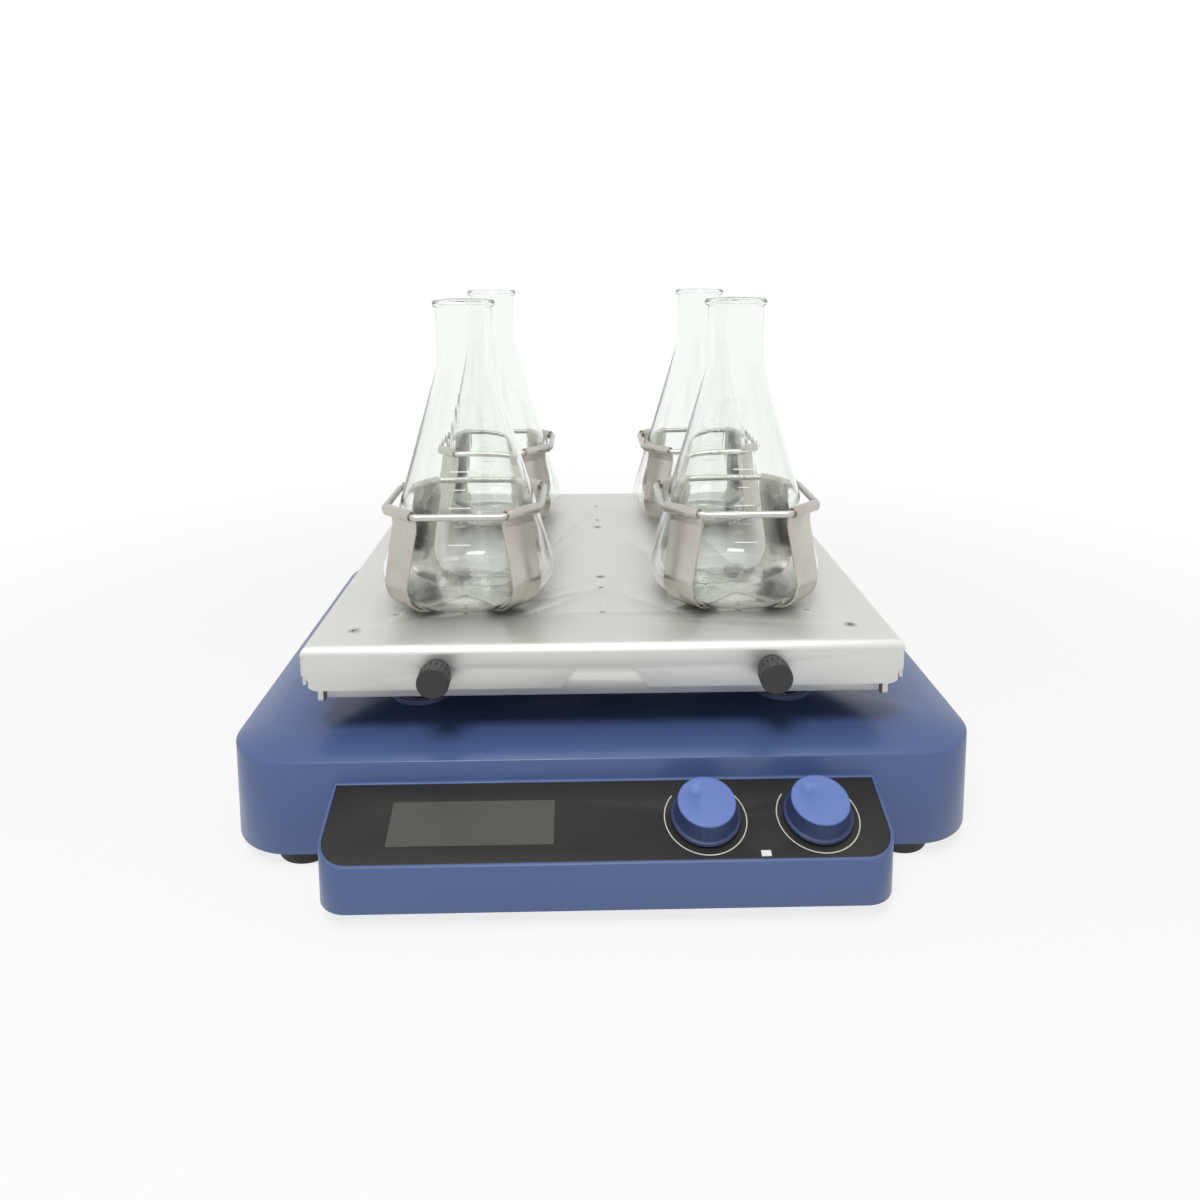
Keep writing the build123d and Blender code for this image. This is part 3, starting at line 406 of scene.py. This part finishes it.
looks = {
    "housingPaint": {"colour": (0.066, 0.112, 0.27), "drift": (0.073, 0.12, 0.28), "rough": (0.26, 0.34),
                     "grain": 1400.0, "speckle": 0.06, "relief": 0.12, "depth": 0.00006, "patch": 6.0},
    "panelBlack": {"colour": (0.018, 0.0175, 0.016), "drift": (0.021, 0.02, 0.019), "rough": (0.5, 0.6),
                   "grain": 2500.0, "relief": 0.04, "depth": 0.00003, "gloss": 0.3},
    "display": {"colour": (0.078, 0.078, 0.07), "drift": (0.084, 0.083, 0.075), "rough": (0.42, 0.5),
                "grain": 3000.0, "relief": 0.02, "depth": 0.00002, "gloss": 0.3},
    "lensWhite": {"colour": (0.8, 0.8, 0.78), "rough": (0.2, 0.3), "grain": 2000.0, "relief": 0.02},
    "blackPlastic": {"colour": (0.02, 0.02, 0.021), "drift": (0.028, 0.028, 0.028), "rough": (0.4, 0.55),
                     "grain": 1800.0, "relief": 0.2, "depth": 0.00008, "patch": 40.0},
    "rubber": {"colour": (0.016, 0.016, 0.017), "drift": (0.03, 0.03, 0.03), "rough": (0.6, 0.8),
               "grain": 1200.0, "relief": 0.3, "depth": 0.0001, "patch": 50.0},
    "traySteel": {"colour": (0.67, 0.67, 0.64), "drift": (0.7, 0.7, 0.67), "rough": (0.42, 0.54),
                  "stretch": (0.06, 1.0, 1.0), "grain": 1500.0, "speckle": 0.05, "relief": 0.08, "depth": 0.00005,
                  "metal": 0.8, "patch": 7.0},
    "clampSteel": {"colour": (0.56, 0.54, 0.5), "drift": (0.5, 0.46, 0.42), "rough": (0.2, 0.34),
                   "stretch": (1.0, 1.0, 0.05), "grain": 1800.0, "speckle": 0.16, "relief": 0.15, "depth": 0.00005,
                   "metal": 1.0, "patch": 22.0},
    "machinedSteel": {"colour": (0.5, 0.5, 0.49), "drift": (0.44, 0.44, 0.43), "rough": (0.22, 0.36),
                      "stretch": (1, 1, 0.2), "grain": 1500.0, "relief": 0.12, "metal": 1.0, "patch": 30.0},
    "screwSteel": {"colour": (0.52, 0.52, 0.5), "drift": (0.42, 0.42, 0.41), "rough": (0.25, 0.4), "grain": 2000.0,
                   "relief": 0.1, "metal": 1.0, "patch": 80.0},
    "castAluminium": {"colour": (0.6, 0.6, 0.61), "drift": (0.52, 0.52, 0.53), "rough": (0.35, 0.5),
                      "grain": 1100.0, "relief": 0.2, "metal": 1.0, "patch": 25.0},
    "platePaint": {"colour": (0.05, 0.05, 0.052), "drift": (0.07, 0.07, 0.07), "rough": (0.45, 0.6),
                   "grain": 1000.0, "relief": 0.2},
    "circuitBoard": {"colour": (0.02, 0.12, 0.05), "drift": (0.03, 0.16, 0.07), "rough": (0.3, 0.45),
                     "grain": 600.0, "relief": 0.1},
    "printWhite": {"colour": (0.62, 0.61, 0.56), "rough": (0.45, 0.55), "grain": 2500.0, "relief": 0.03},
    "scaleWhite": {"colour": (0.85, 0.85, 0.82), "rough": (0.4, 0.5), "grain": 2500.0, "relief": 0.03},
}
finishes = {name: solidFinish(name, look) for name, look in looks.items()}
glassLook = {"tint": (0.965, 0.985, 0.965), "bend": 1.47}
finishes["flaskGlass"] = glassFinish("flaskGlass", glassLook)
springLook = {"colour": (0.55, 0.54, 0.51), "rough": (0.16, 0.3), "turn": 0.6 * mm, "relief": 0.35,
              "depth": 0.0001, "patch": 30.0}
finishes["springWire"] = springFinish("springWire", springLook)

# the console's slope, on which the knobs stand
consoleForm = {"backEdge": -169 * mm, "backHeight": 52 * mm, "frontHeight": 34.9 * mm, "out": 48 * mm}
consoleSlope = atan2(consoleForm["backHeight"] - consoleForm["frontHeight"], consoleForm["out"])
slopeTop = Vector((0, consoleForm["backEdge"], consoleForm["backHeight"]))
slopeNormal = Vector((0, -sin(consoleSlope), cos(consoleSlope)))
knobLook = {
    "normal": slopeNormal,
    "panel": slopeTop.dot(slopeNormal),
    "top": 12.6 * mm,
    "edgeShare": 0.13,
    "capShare": 0.9,
    "edge": (0.2, 0.25, 0.42),
    "skirt": (0.024, 0.042, 0.12),
    "cap": (0.13, 0.2, 0.5),
    "rough": (0.5, 0.6),
    "grain": 2600.0,
    "relief": 0.1,
    "depth": 0.00005,
    "patch": 60.0,
}
finishes["knobBlue"] = knobFinish("knobBlue", knobLook)
slotFinish = {
    "housing_paint": "housingPaint", "panel_black": "panelBlack", "display": "display", "lens_white": "lensWhite",
    "knob_blue": "knobBlue", "black_plastic": "blackPlastic", "rubber": "rubber", "tray_steel": "traySteel",
    "spring_steel": "clampSteel", "glass": "flaskGlass", "machined_steel": "machinedSteel",
    "screw_steel": "screwSteel", "aluminium": "castAluminium", "plate_paint": "platePaint",
    "electronics": "circuitBoard",
}
for entry in frame["record"]["subparts"]:
    mesh = nodes[entry["node"]].data
    mesh.materials.clear()
    mesh.materials.append(finishes[slotFinish[entry["material_slot"]]])
print("finishes made:", len(finishes))


# housings, tray and carrier: the CAD shapes with softened edges
shellEdges = {
    "base_housing": ("baseShell", 0.9 * mm, "housingPaint", "base", "housing_paint"),
    "console_housing": ("consoleShell", 0.5 * mm, "housingPaint", "base", "housing_paint"),
    "control_panel": ("panelSheet", 0.15 * mm, "panelBlack", "base", "panel_black"),
    "clamp_tray": ("traySheet", 0.25 * mm, "traySteel", "tray", "tray_steel"),
    "carrier_plate": ("carrierSheet", 0.4 * mm, "traySteel", "platform", "tray_steel"),
    "rubber_feet": ("feet", 0.3 * mm, "rubber", "base", "rubber"),
    "switch_bezel": ("switchFrame", 0.4 * mm, "housingPaint", "base", "housing_paint"),
    "power_rocker": ("switchRocker", 0.5 * mm, "blackPlastic", "switch_rocker", "black_plastic"),
    "power_inlet": ("inletSocket", 0.3 * mm, "blackPlastic", "base", "black_plastic"),
}
for node, (name, bevel, finish, body, slot) in shellEdges.items():
    piece = dressedCopy(node, name, bevel)
    finishPiece(piece, finishes[finish], body, [node])
print("shells dressed")


# flasks
flaskForm = {
    "bodyRadius": 52.5 * mm,
    "cornerRadius": 16 * mm,
    "neckRadius": 16.6 * mm,
    "rimRadius": 18.8 * mm,
    "bead": 2.3 * mm,
    "height": 180 * mm,
    "shoulder": 141 * mm,
    "blend": 26 * mm,
    "wall": 1.8 * mm,
    "punt": 2.2 * mm,      # how far the bottom rises at its middle
    "pinhole": 1 * mm,     # radius at which the turned rows end
    "innerLedge": 20 * mm,
    "standRing": 32 * mm,  # radius at which the bottom comes down to the tray
    "sides": 96,
}


cornerSteps, shoulderSteps, beadSteps = 10, 8, 9


def flaskSide(form, inset):
    # corner arc, straight cone and shoulder blend of one wall, from the bottom up
    radius = form["cornerRadius"] - inset
    cx = form["bodyRadius"] - form["cornerRadius"]
    cz = form["cornerRadius"]
    nx, nz = form["neckRadius"] - inset, form["shoulder"]
    reach = hypot(nx - cx, nz - cz)
    turn = degrees(atan2(nz - cz, nx - cx) - acos(radius / reach))
    rows = arcRows((cx, cz), radius, -90, turn, cornerSteps)
    # blend between the cone and the straight neck
    tilt = radians(turn)
    cut = form["blend"] * tan(tilt / 2)
    centre = (nx + form["blend"], nz + cut)
    rows += arcRows(centre, form["blend"], 180 + turn, 180, shoulderSteps)
    return rows


def makeFlask(name, x, y, floor):
    form = flaskForm
    wall = form["wall"]
    outer = flaskSide(form, 0)
    inner = flaskSide(form, wall)
    top = form["height"]
    bead = (form["rimRadius"] - form["bead"], top - form["bead"])
    rows = [(form["pinhole"], form["punt"]), (form["innerLedge"], form["punt"] * 0.72),
            (form["standRing"], 0.15 * mm)]
    rows += outer
    rows += [(form["neckRadius"], top - 16 * mm), (form["neckRadius"], top - 2 * form["bead"])]
    rows += arcRows(bead, form["bead"], -62, 128, beadSteps)
    rows += [(form["neckRadius"] - wall, top - 3.2 * mm), (form["neckRadius"] - wall, top - 18 * mm)]
    rows += list(reversed(inner))[:-1]
    rows += [(inner[0][0], wall + 0.3 * mm), (form["innerLedge"], wall + 1.4 * mm),
             (form["pinhole"], wall + form["punt"])]
    piece = turnedPiece(name, rows, form["sides"])
    smoothByAngle(piece, 50)
    piece.location = (x, y, floor)
    return piece


scaleForm = {
    "proud": 0.06 * mm,
    "thick": 0.05 * mm,
    "sides": 360,
    # height, width and line of each mark
    "marks": [
        (42 * mm, 12 * mm, 0.6 * mm), (52 * mm, 7 * mm, 0.5 * mm), (62 * mm, 12 * mm, 0.6 * mm),
        (72 * mm, 7 * mm, 0.5 * mm), (82 * mm, 12 * mm, 0.6 * mm), (92 * mm, 7 * mm, 0.5 * mm),
    ],
}


def makeScaleMarks(name, x, y, floor):
    # short enamel lines on the side towards the front, on the straight cone of the glass
    form = scaleForm
    side = flaskSide(flaskForm, 0)
    cone = (side[cornerSteps], side[cornerSteps + 1])
    parts = []
    for low, width, line in form["marks"]:
        share = (low - cone[0][1]) / (cone[1][1] - cone[0][1])
        radius = cone[0][0] + share * (cone[1][0] - cone[0][0]) + form["proud"]
        fall = (cone[1][0] - cone[0][0]) / (cone[1][1] - cone[0][1]) * line
        deselectAll()
        bpy.ops.mesh.primitive_circle_add(vertices=form["sides"], radius=radius, location=(0, 0, 0))
        mark = startPiece(name + "Line")
        bpy.ops.mesh.select_all(action="SELECT")
        bpy.ops.transform.translate(value=(0, 0, low))
        bpy.ops.mesh.extrude_edges_move(TRANSFORM_OT_translate={"value": (0, 0, line)})
        share = (radius + fall) / radius
        bpy.ops.transform.resize(value=(share, share, 1), center_override=(0, 0, low + line))
        half = width / radius / 2
        pickFaces(mark, lambda c, n: abs(atan2(c.x, -c.y)) > half)
        bpy.ops.mesh.delete(type="FACE")
        bpy.ops.object.mode_set(mode="OBJECT")
        parts.append(mark)
    makeActive(parts[0])
    for mark in parts:
        mark.select_set(True)
    bpy.ops.object.join()
    piece = bpy.context.object
    piece.name = piece.data.name = name
    thick = piece.modifiers.new("thick", "SOLIDIFY")
    thick.thickness = form["thick"]
    thick.offset = -1
    applyModifiers(piece)
    smoothByAngle(piece, 40)
    piece.location = (x, y, floor)
    return piece


for corner in corners:
    low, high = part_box("flask_" + corner)
    x, y = (low.x + high.x) / 2, (low.y + high.y) / 2
    flask = makeFlask("glassFlask_" + corner, x, y, low.z)
    finishPiece(flask, finishes["flaskGlass"], "flask_" + corner, ["flask_" + corner])
    marks = makeScaleMarks("scaleMarks_" + corner, x, y, low.z)
    finishPiece(marks, finishes["scaleWhite"], "flask_" + corner)
print("flasks blown")


# clamps and their retaining springs
ringReach = 1.08       # mean radius of the ring against half its width


def addRingLength(piece, x, y, half):
    # stores how far along the ring each point lies
    store = piece.data.attributes.new("alongRing", "FLOAT", "POINT")
    for vertex, value in zip(piece.data.vertices, store.data):
        dx, dy = vertex.co.x - x, vertex.co.y - y
        value.value = atan2(dy, dx) * half * ringReach


for corner in corners:
    clamp = dressedCopy("clamp_" + corner, "clampArms_" + corner, 0.25 * mm, 35)
    finishPiece(clamp, finishes["clampSteel"], "tray", ["clamp_" + corner])
    low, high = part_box("retaining_spring_" + corner)
    ring = dressedCopy("retaining_spring_" + corner, "springRing_" + corner, 0, 60)
    addRingLength(ring, (low.x + high.x) / 2, (low.y + high.y) / 2, (high.x - low.x) / 2)
    finishPiece(ring, finishes["springWire"], "tray", ["retaining_spring_" + corner])
print("clamps dressed")


# control knobs and thumb screws
knobPlaces = {"speed": (51.3 * mm, 25.4 * mm), "time": (110 * mm, 25.4 * mm)}


def panelPlace(x, down):
    # a point on the console's slope, and the turn that stands a piece on it
    origin = slopeTop + Vector((x, 0, 0))
    along = Vector((0, cos(consoleSlope), sin(consoleSlope)))
    turn = Matrix.Rotation(consoleSlope, 4, "X")
    return Matrix.Translation(origin - along * down) @ turn


for use in knobPlaces:
    piece = dressedCopy(use + "_knob", use + "Knob", 0.3 * mm)
    finishPiece(piece, finishes["knobBlue"], use + "_control", [use + "_knob"])
for side in ("left", "right"):
    piece = dressedCopy("thumb_knob_" + side, "thumbGrip_" + side, 0.3 * mm)
    finishPiece(piece, finishes["blackPlastic"], "thumb_knob_" + side, ["thumb_knob_" + side])


# printed arcs round the knobs
arcForm = {
    "radius": 21.6 * mm,
    "line": 0.55 * mm,
    "thick": 0.04 * mm,
    "start": 140,          # degrees
    "end": 400,
    "sink": 0.37 * mm,     # the panel lies this much and a little more under the console's rim
    "sides": 180,
}


def makePrintedArc(name, x, down):
    form = arcForm
    deselectAll()
    bpy.ops.mesh.primitive_circle_add(vertices=form["sides"], radius=form["radius"])
    arc = startPiece(name)
    bpy.ops.mesh.select_all(action="SELECT")
    share = (form["radius"] - form["line"]) / form["radius"]
    bpy.ops.mesh.extrude_edges_move(TRANSFORM_OT_translate={"value": (0, 0, 0)})
    bpy.ops.transform.resize(value=(share, share, 1), center_override=(0, 0, 0))
    start, end = form["start"], form["end"]

    def outside(c, n):
        turn = degrees(atan2(c.y, c.x)) % 360
        return not (start <= turn <= end or start <= turn + 360 <= end)

    pickFaces(arc, outside)
    bpy.ops.mesh.delete(type="FACE")
    bpy.ops.mesh.select_all(action="SELECT")
    bpy.ops.mesh.normals_make_consistent(inside=False)
    bpy.ops.object.mode_set(mode="OBJECT")
    thick = arc.modifiers.new("thick", "SOLIDIFY")
    thick.thickness = form["thick"]
    thick.offset = 0
    applyModifiers(arc)
    arc.matrix_world = panelPlace(x, down) @ Matrix.Translation((0, 0, -form["sink"]))
    return arc


for use, (x, down) in knobPlaces.items():
    arc = makePrintedArc(use + "Arc", x, down)
    finishPiece(arc, finishes["printWhite"], "base")
print("console finished")


# floor, light and surroundings
floorForm = {
    "size": 60,
    "colour": (0.86, 0.86, 0.86),
    "fade": (0.3, 0.9),      # metres from the shaker over which the paper turns plain white
    "plain": (0.8, 1.0),     # share of plain white before and after
}


def makeFloor(form):
    deselectAll()
    bpy.ops.mesh.primitive_plane_add(size=form["size"], location=(0, 0, 0))
    floor = bpy.context.object
    floor.name = "floor"
    material = bpy.data.materials.new("floorPaper")
    material.use_nodes = True
    tree = material.node_tree
    tree.nodes.clear()
    link = tree.links.new
    output = tree.nodes.new("ShaderNodeOutputMaterial")
    paper = tree.nodes.new("ShaderNodeBsdfDiffuse")
    paper.inputs["Color"].default_value = (*form["colour"], 1)
    glow = tree.nodes.new("ShaderNodeEmission")
    glow.inputs["Strength"].default_value = 1.0
    mix = tree.nodes.new("ShaderNodeMixShader")
    # near the shaker the paper takes its shadow, further out it fades into the white surroundings
    place = tree.nodes.new("ShaderNodeTexCoord")
    reach = tree.nodes.new("ShaderNodeVectorMath")
    reach.operation = "LENGTH"
    fade = tree.nodes.new("ShaderNodeMapRange")
    fade.interpolation_type = "SMOOTHSTEP"
    fade.inputs["From Min"].default_value, fade.inputs["From Max"].default_value = form["fade"]
    fade.inputs["To Min"].default_value, fade.inputs["To Max"].default_value = form["plain"]
    share = tree.nodes.new("ShaderNodeMath")
    share.operation = "MULTIPLY"
    link(place.outputs["Object"], reach.inputs[0])
    link(reach.outputs["Value"], fade.inputs["Value"])
    link(fade.outputs["Result"], share.inputs[0])
    link(plainRays(tree), share.inputs[1])
    link(share.outputs["Value"], mix.inputs["Fac"])
    link(paper.outputs["BSDF"], mix.inputs[1])
    link(glow.outputs["Emission"], mix.inputs[2])
    link(mix.outputs["Shader"], output.inputs["Surface"])
    floor.data.materials.append(material)


def plainRays(tree):
    # 1 for rays from the camera, from gloss and through glass
    path = tree.nodes.new("ShaderNodeLightPath")
    first = tree.nodes.new("ShaderNodeMath")
    first.operation = "MAXIMUM"
    second = tree.nodes.new("ShaderNodeMath")
    second.operation = "MAXIMUM"
    tree.links.new(path.outputs["Is Camera Ray"], first.inputs[0])
    tree.links.new(path.outputs["Is Glossy Ray"], first.inputs[1])
    tree.links.new(first.outputs["Value"], second.inputs[0])
    tree.links.new(path.outputs["Is Transmission Ray"], second.inputs[1])
    return second.outputs["Value"]


def makeWorld(strength):
    world = bpy.data.worlds.new("studio")
    bpy.context.scene.world = world
    world.use_nodes = True
    tree = world.node_tree
    back = tree.nodes["Background"]
    back.inputs["Color"].default_value = (1, 1, 1, 1)
    level = tree.nodes.new("ShaderNodeMapRange")
    level.inputs["To Min"].default_value = strength
    level.inputs["To Max"].default_value = 1.0
    tree.links.new(plainRays(tree), level.inputs["Value"])
    tree.links.new(level.outputs["Result"], back.inputs["Strength"])


def makeLight(name, place, target, size, power):
    deselectAll()
    bpy.ops.object.light_add(type="AREA", location=place)
    lamp = bpy.context.object
    lamp.name = name
    lamp.data.shape = "RECTANGLE"
    lamp.data.size, lamp.data.size_y = size
    lamp.data.energy = power
    direction = Vector(target) - Vector(place)
    lamp.rotation_euler = direction.to_track_quat("-Z", "Y").to_euler()


worldStrength = 0.35
# place, target, size and power of each lamp
lights = {
    "keyTop": ((-0.2, -1.05, 1.45), (0, -0.05, 0.1), (0.6, 0.5), 16),
    "overhead": ((0.1, -0.4, 1.6), (0, 0, 0.1), (1.0, 0.6), 4),
}
makeFloor(floorForm)
makeWorld(worldStrength)
for name, (place, target, size, power) in lights.items():
    makeLight(name, place, target, size, power)
bpy.context.scene.view_settings.view_transform = "Standard"
print("studio set")

deselectAll()
